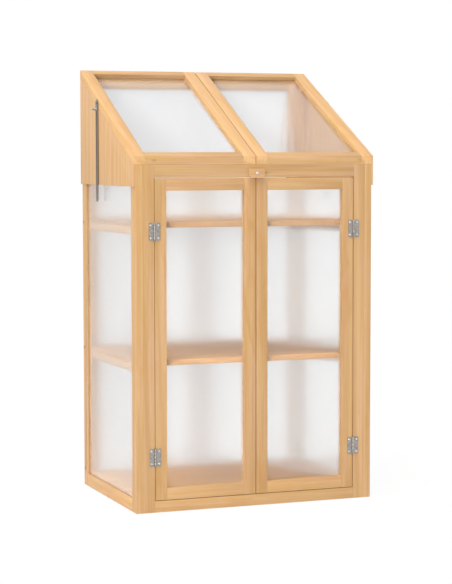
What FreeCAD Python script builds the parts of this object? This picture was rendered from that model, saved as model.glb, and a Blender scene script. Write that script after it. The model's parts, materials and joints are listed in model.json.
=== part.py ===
import FreeCAD, Part

import math
import os
import re
import Sketcher

# Wooden mini greenhouse: a free-standing cabinet of fir frames glazed with
# polycarbonate sheet, two doors in front, and two sloping lids held open by
# slotted metal stays. Millimetres, +Z up, doors towards -Y, origin at the
# middle of the footprint on the ground.

SIZES = [
    ("frame_width", 690, "over the outer faces of the side frames"),
    ("frame_depth", 486, "front plane to back plane"),
    ("eaves_height", 934, "underside of the lids at the front plane"),
    ("roof_rise", 246, "how far the roof climbs from front to back"),
    ("frame_thick", 20, "thickness of every planed frame member"),
    ("side_member", 36, "width of the posts and rails of the side frames"),
    ("stile_wide", 33, "width of the front frame's stiles"),
    ("front_top_rail", 35, "height of the rail over the doors"),
    ("front_bottom_rail", 31, "height of the rail under the doors"),
    ("back_member", 33, "width of the back frame's stiles and rails"),
    ("pane_thick", 4, "thickness of the polycarbonate sheet"),
    ("groove_deep", 8, "depth of the glazing grooves"),
    ("pane_room", 0.5, "free space between a sheet's edge and its groove"),
    ("side_inset", 5, "outer face of the side and back frames to the sheet"),
    ("door_inset", 12, "front face of a door to its sheet"),
    ("gable_thick", 5, "thickness of the boards that close the roof's ends"),
    ("gable_drop", 58, "eaves to the lower edge of those boards"),
    ("lid_thick", 20, "thickness of a lid, square to the slope"),
    ("lid_stile", 35, "width of a lid's stiles"),
    ("lid_rail", 24, "width of a lid's rails, along the slope"),
    ("lid_inset", 12, "upper face of a lid to its sheet"),
    ("lid_seam", 2, "gap between the two lids"),
    ("door_member", 33, "width of a door's stiles and rails"),
    ("door_gap", 1.5, "gap round the doors"),
    ("door_seam", 2, "gap between the two doors"),
    ("shelf_thick", 15, "thickness of the shelf slats"),
    ("slat_gap", 6, "drainage gap between slats"),
    ("slat_count", 5, "slats in a shelf"),
    ("shelf_room", 1, "play between a shelf and the frames at its ends and back"),
    ("shelf_setback", 4, "back of the doors to the front edge of a shelf"),
    ("bottom_shelf_top", 42, "height of the lowest shelf"),
    ("middle_shelf_top", 409, "height of the middle shelf"),
    ("upper_shelf_top", 780, "height of the highest shelf"),
    ("batten_high", 20, "height of the battens under the shelves"),
    ("batten_wide", 18, "width of those battens"),
    ("hinge_high", 48, "length of a butt hinge along its barrel"),
    ("leaf_wide", 16, "barrel axis to the free edge of a hinge leaf"),
    ("leaf_thick", 1.2, "sheet that the hinge leaves are made of"),
    ("barrel_diameter", 5, "outside of the hinge barrel"),
    ("pin_diameter", 2.6, "hinge pin"),
    ("pin_room", 0.05, "radial play of the pin in the moving knuckles"),
    ("knuckle_room", 0.2, "axial play between two knuckles"),
    ("hinge_rise", 117, "bottom of the doors to the middle of their lower hinges"),
    ("hinge_drop", 141.5, "top of the doors to the middle of their upper hinges"),
    ("lid_hinge_inset", 90, "end of a lid to the middle of its nearer hinge"),
    ("screw_head", 5, "head of a hinge screw"),
    ("screw_shank", 2.8, "shank of a hinge screw"),
    ("screw_long", 14, "length of a hinge screw"),
    ("screw_pitch", 34, "distance between the two screws of a hinge leaf"),
    ("screw_from_axis", 11, "barrel axis to the screws of a leaf"),
    ("hole_room", 0.1, "radial play of screws and bolts in their holes"),
    ("joint_head", 8, "head of a frame screw"),
    ("joint_shank", 4, "shank of a frame screw"),
    ("joint_long", 42, "length of a frame screw"),
    ("joint_head_high", 2.5, "height of a frame screw's head"),
    ("low_joint", 49, "height of the lowest frame screws"),
    ("middle_joint", 403, "height of the middle frame screws"),
    ("joint_drop", 168, "eaves to the highest frame screws"),
    ("button_long", 47, "length of the wooden turn button"),
    ("button_wide", 24, "width of the turn button"),
    ("button_thick", 9, "thickness of the turn button"),
    ("button_corner", 8, "rounding of the turn button's corners"),
    ("button_drop", 23.5, "eaves to the turn button's pivot"),
    ("button_room", 0.5, "turn button to the front plane"),
    ("pivot_head", 8, "head of the pivot screws"),
    ("pivot_head_high", 2, "height of that head"),
    ("pivot_shank", 4, "shank of the turn button's screw"),
    ("pivot_long", 24, "length of the turn button's screw"),
    ("stay_back", 318, "front plane to the middle of the stay"),
    ("bolt_drop", 8, "underside of the lids to the stay's bolt"),
    ("bolt_diameter", 6, "stay bolt"),
    ("bolt_head", 13, "domed head of that bolt, inside the gable"),
    ("bolt_head_high", 3.5, "height of the dome"),
    ("bolt_reach", 14, "outer face of the bar to the end of the bolt"),
    ("bolt_lead", 1, "chamfer at the end of the bolt"),
    ("washer_diameter", 14, "washer between the gable and the stay"),
    ("washer_thick", 1, "thickness of that washer"),
    ("bar_wide", 20, "width of the stay"),
    ("bar_thick", 2, "thickness of the stay"),
    ("bar_above", 19, "bolt to the screw that carries the stay on the lid"),
    ("bar_end", 8, "that screw to the upper end of the stay"),
    ("slot_room", 0.3, "play of the bolt in the slot, each side"),
    ("slot_above", 6, "bolt to the upper end of the slot, lids shut"),
    ("slot_below", 242, "bolt to the lower end of the slot, lids shut"),
    ("slot_end", 16, "lower end of the slot to the lower end of the stay"),
    ("stay_shank", 5, "shank of the screw at the top of the stay"),
    ("stay_gap", 0.3, "that screw's end to the lid's side"),
    ("hub_diameter", 10, "hub of the wing nut"),
    ("hub_high", 6, "height of that hub"),
    ("wing_span", 27, "tip to tip of the wing nut"),
    ("wing_high", 12, "height of the wings over the bar"),
    ("wing_thick", 2.4, "thickness of the wings"),
]

KNUCKLES = 5  # the fixed leaf holds the first, third and fifth

# Small round hardware repeats by the dozen, so it has flat facets
HOLE_FACETS = 6
SCREW_FACETS = 8
HINGE_FACETS = 8
BOLT_FACETS = 12

doc = FreeCAD.newDocument("MiniGreenhouse")
sheet = doc.addObject("Spreadsheet::Sheet", "Sizes")
for row, (alias, size, note) in enumerate(SIZES, start=1):
    sheet.set(f"A{row}", alias)
    sheet.set(f"B{row}", str(size))
    sheet.set(f"C{row}", note)
    sheet.setAlias(f"B{row}", alias)
doc.recompute()
ALIASES = {alias for alias, size, note in SIZES}
parts = []


def sized(text):
    """An expression on the sheet's cells, from one that names the sizes alone."""
    def cell(word):
        return "Sizes." + word.group() if word.group() in ALIASES else word.group()
    return re.sub(r"[a-z_]+", cell, str(text))


def value(text):
    """The number that an expression stands for now."""
    return float(sheet.evalExpression(sized(text)))


# The roof's slope, and the lines that follow from the driving sizes

SLOPE = "(roof_rise / frame_depth)"
RAFTER = "hypot(frame_depth; roof_rise)"
COSINE = f"(frame_depth / {RAFTER})"
SINE = f"(roof_rise / {RAFTER})"
LID_HIGH = f"(lid_thick / {COSINE})"
BARREL = "(barrel_diameter / 2)"
BUTTON_REACH = "(button_room + button_thick + pivot_head_high)"
FRONT = f"(({BUTTON_REACH} - frame_depth - barrel_diameter) / 2)"
BACK = f"({FRONT} + frame_depth)"
SIDE = "(-frame_width / 2)"
INNER_SIDE = f"({SIDE} + frame_thick)"
STILE_EDGE = f"({INNER_SIDE} + stile_wide)"
DOOR_AXIS = f"({STILE_EDGE} + door_gap / 2)"
DOOR_BOTTOM = "(front_bottom_rail + door_gap)"
DOOR_TOP = "(eaves_height - front_top_rail - door_gap)"
GABLE_FACE = f"({SIDE} - gable_thick)"
BAR_BACK = f"({GABLE_FACE} - washer_thick)"
BAR_FACE = f"({BAR_BACK} - bar_thick)"
BARE_GROOVE = "(groove_deep - pane_room)"
GABLE_BOTTOM = "(eaves_height - gable_drop)"
BUTTON_HEIGHT = "(eaves_height - button_drop)"


def under_roof(back):
    """Height of the lids' underside, a distance back from the front plane."""
    return f"(eaves_height + ({back}) * {SLOPE})"


BOLT_HEIGHT = f"({under_roof('stay_back')} - bolt_drop)"


def on_lid(along, down):
    """A point of a lid's section: along the slope from the front, and down from its top."""
    back = f"(({along}) * {COSINE} + ({down}) * {SINE})"
    height = f"(eaves_height + {LID_HIGH} + ({along}) * {SINE} - ({down}) * {COSINE})"
    return back, height


# Sketches, pads and pockets

# For each plane: the side of it that a pad without reversing grows to
PLANES = {"XY": 1, "XZ": -1, "YZ": 1}


def new_body(label, across, back, height):
    """An empty body whose corner lies at a place given by expressions."""
    body = doc.addObject("PartDesign::Body", label)
    body.Label = label
    for axis, text in zip("xyz", (across, back, height)):
        body.setExpression(f"Placement.Base.{axis}", sized(text))
    return body


def new_sketch(body, plane, start):
    """A sketch on one of the body's own planes, moved along the axis square to it."""
    sketch = body.newObject("Sketcher::SketchObject", body.Label + "_sketch")
    role = plane + "_Plane"
    face = [one for one in body.Origin.OriginFeatures if one.Role == role][0]
    sketch.AttachmentSupport = (face, [""])
    sketch.MapMode = "FlatFace"
    sketch.setExpression("AttachmentOffset.Base.z", sized(f"{PLANES[plane]} * ({start})"))
    return sketch


def hold(sketch, kind, *where):
    """A dimension of the sketch, held by an expression."""
    *target, text = where
    index = sketch.addConstraint(Sketcher.Constraint(kind, *target, value(text)))
    sketch.setExpression(f"Constraints[{index}]", sized(text))


def draw(sketch, corners):
    """Add a closed outline of straight lines through corners given by expressions."""
    base, held = sketch.GeometryCount, sketch.ConstraintCount
    spots = [FreeCAD.Vector(value(first), value(second), 0) for first, second in corners]
    count = len(spots)
    lines, rules, texts = [], [], []
    for index, spot in enumerate(spots):
        following = (index + 1) % count
        lines.append(Part.LineSegment(spot, spots[following]))
        rules.append(Sketcher.Constraint("Coincident", base + index, 2, base + following, 1))
    for index, spot in enumerate(spots):
        rules.append(Sketcher.Constraint("DistanceX", base + index, 1, spot.x))
        rules.append(Sketcher.Constraint("DistanceY", base + index, 1, spot.y))
        texts += corners[index]
    sketch.addGeometry(lines, False)
    sketch.addConstraint(rules)
    for index, text in enumerate(texts, start=held + count):
        sketch.setExpression(f"Constraints[{index}]", sized(text))


def outline(body, plane, corners, start="0"):
    """A sketch of one closed outline."""
    sketch = new_sketch(body, plane, start)
    draw(sketch, corners)
    return sketch


def rounds(body, plane, centres, diameter, facets, start="0", hole=False):
    """A sketch of equal faceted rounds: a shaft's corners lie on its diameter, and a hole's
    flats do, so that a shaft of less than the hole's diameter is clear at any angle."""
    sketch = new_sketch(body, plane, start)
    reach = 0.5 / math.cos(math.pi / facets) if hole else 0.5
    for first, second in centres:
        corners = []
        for index in range(facets):
            angle = (2 * index + 1) * math.pi / facets
            corners.append((
                f"({first}) + ({diameter}) * {reach * math.cos(angle):.6f}",
                f"({second}) + ({diameter}) * {reach * math.sin(angle):.6f}"))
        draw(sketch, corners)
    return sketch


def circles(body, plane, centres, diameter, start="0"):
    """A sketch of equal circles at centres given by expressions."""
    sketch = new_sketch(body, plane, start)
    for index, (first, second) in enumerate(centres):
        middle = FreeCAD.Vector(value(first), value(second), 0)
        ring = Part.Circle(middle, FreeCAD.Vector(0, 0, 1), value(diameter) / 2)
        sketch.addGeometry(ring, False)
        hold(sketch, "DistanceX", index, 3, first)
        hold(sketch, "DistanceY", index, 3, second)
        hold(sketch, "Diameter", index, diameter)
    return sketch


def pad(body, plane, sketch, length):
    """Grow a sketch along the axis square to its plane."""
    feature = body.newObject("PartDesign::Pad", body.Label + "_pad")
    feature.Profile = sketch
    feature.setExpression("Length", sized(length))
    feature.Reversed = PLANES[plane] < 0
    sketch.Visibility = False
    return feature


def pocket(body, plane, sketch, depth=None, backwards=False):
    """Cut a sketch along that axis, through everything where no depth is given."""
    feature = body.newObject("PartDesign::Pocket", body.Label + "_pocket")
    feature.Profile = sketch
    feature.Reversed = (PLANES[plane] > 0) != backwards
    if depth is None:
        feature.Type = "ThroughAll"
    else:
        feature.setExpression("Length", sized(depth))
    sketch.Visibility = False
    return feature


def box(first, second, wide, high):
    """The corners of a rectangle, from its lower corner and its two sides."""
    far = f"({first} + {wide})"
    top = f"({second} + {high})"
    return [(first, second), (far, second), (far, top), (first, top)]


def tip(body, height):
    """A sketch of the one point where a taper on the Z axis ends."""
    sketch = new_sketch(body, "XY", height)
    sketch.addGeometry(Part.Point(FreeCAD.Vector()), False)
    sketch.addConstraint(Sketcher.Constraint("Coincident", 0, 1, -1, 1))
    return sketch


def turned(label, facets, steps):
    """A body of straight and tapered lengths on its own Z axis.

    Each length has a low end and a diameter there, and a high end and a diameter there.
    A low diameter of 0 is a point."""
    body = new_body(label, "0", "0", "0")
    for low, low_diameter, high, high_diameter in steps:
        if low_diameter == "0":
            cone = body.newObject("PartDesign::AdditiveLoft", label + "_tip")
            cone.Profile = rounds(body, "XY", [("0", "0")], high_diameter, facets, high)
            cone.Sections = [tip(body, low)]
            cone.Ruled = True
            cone.Profile[0].Visibility = cone.Sections[0][0].Visibility = False
            body.Tip = cone
            continue
        foot = rounds(body, "XY", [("0", "0")], low_diameter, facets, low)
        if low_diameter == high_diameter:
            pad(body, "XY", foot, f"{high} - ({low})")
            continue
        taper = body.newObject("PartDesign::AdditiveLoft", label + "_taper")
        top = rounds(body, "XY", [("0", "0")], high_diameter, facets, high)
        taper.Profile = foot
        taper.Sections = [top]
        taper.Ruled = True
        foot.Visibility = top.Visibility = False
        body.Tip = taper
    return body


def rounded(body, feature, radius, along):
    """Fillet the feature's edges that run straight along one axis."""
    doc.recompute()
    names = []
    for number, edge in enumerate(feature.Shape.Edges, start=1):
        if isinstance(edge.Curve, Part.Line) and abs(edge.tangentAt(0).dot(along)) > 0.999:
            names.append(f"Edge{number}")
    fillet = body.newObject("PartDesign::Fillet", body.Label + "_fillet")
    fillet.Base = (feature, names)
    fillet.setExpression("Radius", sized(radius))
    return fillet


def countersunk(body, feature, level, spots, reach, depth):
    """Open the mouths of a feature's holes at a level of y, near spots of x and z."""
    doc.recompute()
    middles = [FreeCAD.Vector(value(first), value(level), value(second)) for first, second in spots]
    names = []
    for number, edge in enumerate(feature.Shape.Edges, start=1):
        at_level = all(abs(corner.Y - value(level)) < 0.001 for corner in edge.Vertexes)
        if at_level and any(edge.CenterOfMass.distanceToPoint(middle) < value(reach) for middle in middles):
            names.append(f"Edge{number}")
    chamfer = body.newObject("PartDesign::Chamfer", body.Label + "_countersink")
    chamfer.Base = (feature, names)
    chamfer.setExpression("Size", sized(depth))
    return chamfer


# Copies, mirror images and groups

TURNS = {
    "upright": FreeCAD.Rotation(),
    # local X, Y and Z axes of the copy, in that order
    "on_back": FreeCAD.Rotation(
        FreeCAD.Vector(0, 0, 1), FreeCAD.Vector(0, -1, 0), FreeCAD.Vector(1, 0, 0), "XYZ"),
    "facing_front": FreeCAD.Rotation(
        FreeCAD.Vector(1, 0, 0), FreeCAD.Vector(0, 0, 1), FreeCAD.Vector(0, -1, 0), "XYZ"),
    "facing_back": FreeCAD.Rotation(
        FreeCAD.Vector(1, 0, 0), FreeCAD.Vector(0, 0, -1), FreeCAD.Vector(0, 1, 0), "XYZ"),
    "facing_left": FreeCAD.Rotation(
        FreeCAD.Vector(0, 1, 0), FreeCAD.Vector(0, 0, -1), FreeCAD.Vector(-1, 0, 0), "XYZ"),
    "facing_right": FreeCAD.Rotation(
        FreeCAD.Vector(0, 1, 0), FreeCAD.Vector(0, 0, 1), FreeCAD.Vector(1, 0, 0), "XYZ"),
}


def copy_of(pattern, turn, across, back, height):
    """A linked copy of a pattern piece, turned and placed."""
    link = doc.addObject("App::Link", pattern.Label + "_copy")
    link.LinkedObject = pattern
    link.Placement = FreeCAD.Placement(FreeCAD.Vector(), TURNS[turn])
    for axis, text in zip("xyz", (across, back, height)):
        link.setExpression(f"Placement.Base.{axis}", sized(text))
    return link


def mirror_of(source, label):
    """The right-hand twin of a left-hand piece."""
    twin = doc.addObject("Part::Mirroring", label)
    twin.Label = label
    twin.Source = source
    twin.Base = (0, 0, 0)
    twin.Normal = (1, 0, 0)
    return twin


def group(label, members):
    """Separate solids that share one name."""
    bundle = doc.addObject("Part::Compound", label)
    bundle.Label = label
    bundle.Links = members
    return bundle


def keep(piece):
    """Count a piece as one of the greenhouse's own."""
    parts.append(piece)
    return piece


def keep_pair(piece):
    """Keep a left-hand piece and its right-hand twin."""
    keep(piece)
    keep(mirror_of(piece, piece.Label.replace("left_", "right_")))
    return piece


# Frame members shared by the frames

def rail(label, place, plane, length, section, tongue):
    """A rail with a stub tongue at each end, which fills the groove of the stile there."""
    body = new_body(label, *place)
    pad(body, plane, outline(body, plane, section), length)
    pad(body, plane, outline(body, plane, tongue, "-groove_deep"), f"{length} + 2 * groove_deep")
    return body


def sheet_of(label, place, wide, deep, high):
    """A flat sheet of glazing."""
    body = new_body(label, *place)
    pad(body, "XY", outline(body, "XY", box("0", "0", wide, deep)), high)
    return body


# Side frames

HINGE_HEIGHTS = (f"({DOOR_BOTTOM} + hinge_rise)", f"({DOOR_TOP} - hinge_drop)")
JOINT_HEIGHTS = ("low_joint", "middle_joint", "(eaves_height - joint_drop)")
JOINT_BORE = "(joint_shank + 2 * hole_room)"
JOINT_SINK = "(joint_head + 2 * hole_room)"


def side_post(label, back, groove_at):
    """A post of the side frame: grooved for the sheet, its top cut to the roof."""
    body = new_body(label, SIDE, f"{FRONT} + {back}", "0")
    top_back = under_roof(f"{back} + side_member")
    section = [("0", "0"), ("side_member", "0"), ("side_member", top_back), ("0", under_roof(back))]
    pad(body, "YZ", outline(body, "YZ", section), "frame_thick")
    groove = box("side_inset", groove_at, "pane_thick", "groove_deep")
    pocket(body, "XY", outline(body, "XY", groove))
    return body


def side_rail(label, bottom, groove_side):
    """A rail of the side frame, grooved along the edge that meets the sheet."""
    groove_far = "(side_inset + pane_thick)"
    if groove_side == "top":
        floor = "(side_member - groove_deep)"
        section = [
            ("0", "0"), ("frame_thick", "0"), ("frame_thick", "side_member"),
            (groove_far, "side_member"), (groove_far, floor), ("side_inset", floor),
            ("side_inset", "side_member"), ("0", "side_member")]
        tongue = box("side_inset", "0", "pane_thick", floor)
    else:
        section = [
            ("0", "0"), ("side_inset", "0"), ("side_inset", "groove_deep"),
            (groove_far, "groove_deep"), (groove_far, "0"), ("frame_thick", "0"),
            ("frame_thick", "side_member"), ("0", "side_member")]
        tongue = box("side_inset", "groove_deep", "pane_thick", "(side_member - groove_deep)")
    place = (SIDE, f"{FRONT} + side_member", bottom)
    return rail(label, place, "XZ", "(frame_depth - 2 * side_member)", section, tongue)


def side_frame():
    """The left side frame with its sheet and the board that closes the roof's end."""
    front_post = side_post("left_front_post", "0", "(side_member - groove_deep)")
    spots = [("frame_thick / 2", height) for height in JOINT_HEIGHTS]
    reach = "(joint_long - stile_wide + hole_room)"
    bores = rounds(front_post, "YZ", spots, JOINT_BORE, HOLE_FACETS, "frame_thick", True)
    pocket(front_post, "YZ", bores, reach, backwards=True)
    keep_pair(front_post)

    rear_post = side_post("left_rear_post", "frame_depth - side_member", "0")
    spots = [("side_member - frame_thick / 2", height) for height in JOINT_HEIGHTS]
    bores = rounds(rear_post, "YZ", spots, JOINT_BORE, HOLE_FACETS, hole=True)
    pocket(rear_post, "YZ", bores)
    sinks = rounds(rear_post, "YZ", spots, JOINT_SINK, SCREW_FACETS, hole=True)
    pocket(rear_post, "YZ", sinks, "joint_head_high")
    keep_pair(rear_post)

    keep_pair(side_rail("left_bottom_rail", "0", "top"))
    keep_pair(side_rail("left_top_rail", GABLE_BOTTOM, "bottom"))

    place = (
        f"{SIDE} + side_inset", f"{FRONT} + side_member - {BARE_GROOVE}",
        f"side_member - {BARE_GROOVE}")
    long = f"(frame_depth - 2 * side_member + 2 * {BARE_GROOVE})"
    high = f"({GABLE_BOTTOM} - side_member + 2 * {BARE_GROOVE})"
    keep_pair(sheet_of("left_side_pane", place, "pane_thick", long, high))

    board = new_body("left_gable_board", GABLE_FACE, FRONT, "0")
    section = [
        ("0", GABLE_BOTTOM), ("frame_depth", GABLE_BOTTOM),
        ("frame_depth", under_roof("frame_depth")), ("0", under_roof("0"))]
    pad(board, "YZ", outline(board, "YZ", section), "gable_thick")
    bolt_hole = "(bolt_diameter + 2 * hole_room)"
    spot = [("stay_back", BOLT_HEIGHT)]
    pocket(board, "YZ", rounds(board, "YZ", spot, bolt_hole, BOLT_FACETS, hole=True))
    keep_pair(board)


# Front frame

PILOT = "(screw_shank + 2 * hole_room)"
PILOT_DEEP = "(screw_long - leaf_thick + hole_room)"


def front_frame():
    """Two stiles and two rails round the doors, between the side frames."""
    stile = new_body("left_front_stile", INNER_SIDE, FRONT, "0")
    section = [
        ("0", "0"), ("frame_thick", "0"),
        ("frame_thick", under_roof("frame_thick")), ("0", under_roof("0"))]
    pad(stile, "YZ", outline(stile, "YZ", section), "stile_wide")
    spots = [("frame_thick / 2", height) for height in JOINT_HEIGHTS]
    pocket(stile, "YZ", rounds(stile, "YZ", spots, JOINT_BORE, HOLE_FACETS, hole=True))
    sinks = rounds(stile, "YZ", spots, JOINT_SINK, SCREW_FACETS, "stile_wide", True)
    pocket(stile, "YZ", sinks, "joint_head_high", backwards=True)
    spots = []
    for height in HINGE_HEIGHTS:
        for sign in "-+":
            spots.append(
                ("stile_wide + door_gap / 2 - screw_from_axis", f"{height} {sign} screw_pitch / 2"))
    pilots = rounds(stile, "XZ", spots, PILOT, HOLE_FACETS, hole=True)
    pocket(stile, "XZ", pilots, PILOT_DEEP)
    keep_pair(stile)

    long = "(frame_width - 2 * frame_thick - 2 * stile_wide)"
    top = new_body("front_top_rail", STILE_EDGE, FRONT, "0")
    low = "(eaves_height - front_top_rail)"
    section = [
        ("0", low), ("frame_thick", low),
        ("frame_thick", under_roof("frame_thick")), ("0", under_roof("0"))]
    pad(top, "YZ", outline(top, "YZ", section), long)
    spot = [(f"{long} / 2", BUTTON_HEIGHT)]
    hole = rounds(top, "XZ", spot, "pivot_shank + 2 * hole_room", SCREW_FACETS, hole=True)
    pocket(top, "XZ", hole, "(pivot_long - button_thick - button_room + hole_room)")
    keep(top)

    bottom = new_body("front_bottom_rail", STILE_EDGE, FRONT, "0")
    section = box("0", "0", "frame_thick", "front_bottom_rail")
    pad(bottom, "YZ", outline(bottom, "YZ", section), long)
    keep(bottom)


# Back frame

BACK_INNER = "(frame_thick - side_inset - pane_thick)"


def back_frame():
    """Stiles, rails and the sheet between the rear posts."""
    stile = new_body("left_back_stile", INNER_SIDE, f"{BACK} - frame_thick", "0")
    low_back = "frame_depth - frame_thick"
    section = [
        ("0", "0"), ("frame_thick", "0"),
        ("frame_thick", under_roof("frame_depth")), ("0", under_roof(low_back))]
    pad(stile, "YZ", outline(stile, "YZ", section), "back_member")
    groove = box("(back_member - groove_deep)", BACK_INNER, "groove_deep", "pane_thick")
    pocket(stile, "XY", outline(stile, "XY", groove))
    spots = [("frame_thick / 2", height) for height in JOINT_HEIGHTS]
    reach = "(joint_long - frame_thick + hole_room)"
    bores = rounds(stile, "YZ", spots, JOINT_BORE, HOLE_FACETS, hole=True)
    pocket(stile, "YZ", bores, reach)
    keep_pair(stile)

    long = "(frame_width - 2 * frame_thick - 2 * back_member)"
    place = (f"{INNER_SIDE} + back_member", f"{BACK} - frame_thick", "0")
    groove_far = f"({BACK_INNER} + pane_thick)"
    low = f"({under_roof('frame_depth')} - back_member)"
    ceiling = f"({low} + groove_deep)"
    section = [
        ("0", low), (BACK_INNER, low), (BACK_INNER, ceiling), (groove_far, ceiling),
        (groove_far, low), ("frame_thick", low), ("frame_thick", under_roof("frame_depth")),
        ("0", under_roof(low_back))]
    tongue = [
        (BACK_INNER, ceiling), (groove_far, ceiling),
        (groove_far, under_roof(f"{low_back} + {groove_far}")),
        (BACK_INNER, under_roof(f"{low_back} + {BACK_INNER}"))]
    top = rail("back_top_rail", place, "YZ", long, section, tongue)
    spots = []
    for across in lid_hinge_middles():
        for side in (across, f"-({across})"):
            for sign in "-+":
                spots.append((
                    f"{side} {sign} screw_pitch / 2 - ({place[0]})",
                    f"{under_roof('frame_depth')} - screw_from_axis"))
    pilots = rounds(top, "XZ", spots, PILOT, HOLE_FACETS, "frame_thick", True)
    pocket(top, "XZ", pilots, PILOT_DEEP, backwards=True)
    keep(top)

    floor = "(back_member - groove_deep)"
    section = [
        ("0", "0"), ("frame_thick", "0"), ("frame_thick", "back_member"),
        (groove_far, "back_member"), (groove_far, floor), (BACK_INNER, floor),
        (BACK_INNER, "back_member"), ("0", "back_member")]
    tongue = box(BACK_INNER, "0", "pane_thick", floor)
    keep(rail("back_bottom_rail", place, "YZ", long, section, tongue))

    place = (
        f"{INNER_SIDE} + back_member - {BARE_GROOVE}", f"{BACK} - frame_thick + {BACK_INNER}",
        f"back_member - {BARE_GROOVE}")
    high = f"({under_roof('frame_depth')} - 2 * back_member + 2 * {BARE_GROOVE})"
    keep(sheet_of("back_pane", place, f"{long} + 2 * {BARE_GROOVE}", "pane_thick", high))


# Shelves

SHELF_TOPS = {
    "bottom_shelf": "bottom_shelf_top",
    "middle_shelf": "middle_shelf_top",
    "upper_shelf": "upper_shelf_top",
}
SHELF_DEEP = "(frame_depth - 2 * frame_thick - shelf_setback - shelf_room)"
SLAT_PITCH = f"(({SHELF_DEEP} + slat_gap) / slat_count)"


def shelves():
    """Three shelves of parallel slats, each on two battens fixed to the side frames."""
    battens = []
    start = f"{FRONT} + frame_thick + shelf_setback"
    for label, top in SHELF_TOPS.items():
        body = new_body(label, f"{INNER_SIDE} + shelf_room", start, f"{top} - shelf_thick")
        long = "(frame_width - 2 * frame_thick - 2 * shelf_room)"
        slat = outline(body, "YZ", box("0", "0", f"({SLAT_PITCH} - slat_gap)", "shelf_thick"))
        first = pad(body, "YZ", slat, long)
        doc.recompute()
        row = body.newObject("PartDesign::LinearPattern", label + "_row")
        row.Originals = [first]
        row.Direction = (slat, ["H_Axis"])
        row.setExpression("Occurrences", sized("slat_count"))
        row.setExpression("Length", sized(f"{SLAT_PITCH} * (slat_count - 1)"))
        body.Tip = row
        keep(body)

        low = f"{top} - shelf_thick - batten_high"
        batten = new_body(label + "_batten", INNER_SIDE, start, low)
        section = box("0", "0", "batten_wide", "batten_high")
        pad(batten, "XZ", outline(batten, "XZ", section), SHELF_DEEP)
        battens += [batten, mirror_of(batten, label + "_batten_twin")]
    keep(group("shelf_battens", battens))


# Doors

DOOR_LEFT = f"({STILE_EDGE} + door_gap)"
DOOR_WIDE = f"(-({DOOR_LEFT}) - door_seam / 2)"
DOOR_HIGH = f"({DOOR_TOP} - {DOOR_BOTTOM})"


def door_stile(label, across, groove_at):
    """An upright of a door, grooved for the sheet over its whole length."""
    body = new_body(label, across, FRONT, DOOR_BOTTOM)
    pad(body, "XY", outline(body, "XY", box("0", "0", "door_member", "frame_thick")), DOOR_HIGH)
    groove = box(groove_at, "door_inset", "groove_deep", "pane_thick")
    pocket(body, "XY", outline(body, "XY", groove))
    return body


def door():
    """The left door: two stiles, two rails between them and the sheet."""
    hinge_stile = door_stile("left_door_hinge_stile", DOOR_LEFT, "(door_member - groove_deep)")
    spots = []
    for height in HINGE_HEIGHTS:
        for sign in "-+":
            spots.append((
                "screw_from_axis - door_gap / 2",
                f"{height} {sign} screw_pitch / 2 - {DOOR_BOTTOM}"))
    pilots = rounds(hinge_stile, "XZ", spots, PILOT, HOLE_FACETS, hole=True)
    pocket(hinge_stile, "XZ", pilots, PILOT_DEEP)
    keep_pair(hinge_stile)
    keep_pair(door_stile("left_door_meeting_stile", "(-door_seam / 2 - door_member)", "0"))

    long = f"({DOOR_WIDE} - 2 * door_member)"
    groove_far = "(door_inset + pane_thick)"
    floor = "(door_member - groove_deep)"
    place = (f"{DOOR_LEFT} + door_member", FRONT, DOOR_BOTTOM)
    section = [
        ("0", "0"), ("frame_thick", "0"), ("frame_thick", "door_member"),
        (groove_far, "door_member"), (groove_far, floor), ("door_inset", floor),
        ("door_inset", "door_member"), ("0", "door_member")]
    tongue = box("door_inset", "0", "pane_thick", floor)
    keep_pair(rail("left_door_bottom_rail", place, "YZ", long, section, tongue))

    place = (place[0], FRONT, f"{DOOR_TOP} - door_member")
    section = [
        ("0", "0"), ("door_inset", "0"), ("door_inset", "groove_deep"),
        (groove_far, "groove_deep"), (groove_far, "0"), ("frame_thick", "0"),
        ("frame_thick", "door_member"), ("0", "door_member")]
    tongue = box("door_inset", "groove_deep", "pane_thick", floor)
    keep_pair(rail("left_door_top_rail", place, "YZ", long, section, tongue))

    place = (
        f"{DOOR_LEFT} + door_member - {BARE_GROOVE}", f"{FRONT} + door_inset",
        f"{DOOR_BOTTOM} + door_member - {BARE_GROOVE}")
    high = f"({DOOR_HIGH} - 2 * door_member + 2 * {BARE_GROOVE})"
    wide = f"({long} + 2 * {BARE_GROOVE})"
    keep_pair(sheet_of("left_door_pane", place, wide, "pane_thick", high))


# Lids

LID_LONG = f"(-({GABLE_FACE}) - lid_seam / 2)"
LID_GROOVE_FAR = "(lid_inset + pane_thick)"
LID_BACK = "frame_depth"


def lid_top(back):
    """Height of a lid's upper face, a distance back from the front plane."""
    return f"({under_roof(back)} + {LID_HIGH})"


def under_lid_top(back, down):
    """Height of a line parallel to the upper face, measured square to the slope."""
    return f"({lid_top(back)} - ({down}) / {COSINE})"


def lid_stile(label, across, groove_at, backwards):
    """A stile of a lid with plumb ends and a groove for the sheet."""
    body = new_body(label, across, FRONT, "0")
    section = [
        ("0", under_roof("0")), (LID_BACK, under_roof(LID_BACK)),
        (LID_BACK, lid_top(LID_BACK)), ("0", lid_top("0"))]
    pad(body, "YZ", outline(body, "YZ", section), "lid_stile")
    groove = [
        ("0", under_lid_top("0", LID_GROOVE_FAR)),
        (LID_BACK, under_lid_top(LID_BACK, LID_GROOVE_FAR)),
        (LID_BACK, under_lid_top(LID_BACK, "lid_inset")),
        ("0", under_lid_top("0", "lid_inset"))]
    sketch = outline(body, "YZ", groove, groove_at)
    pocket(body, "YZ", sketch, "groove_deep", backwards)
    return body


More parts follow.
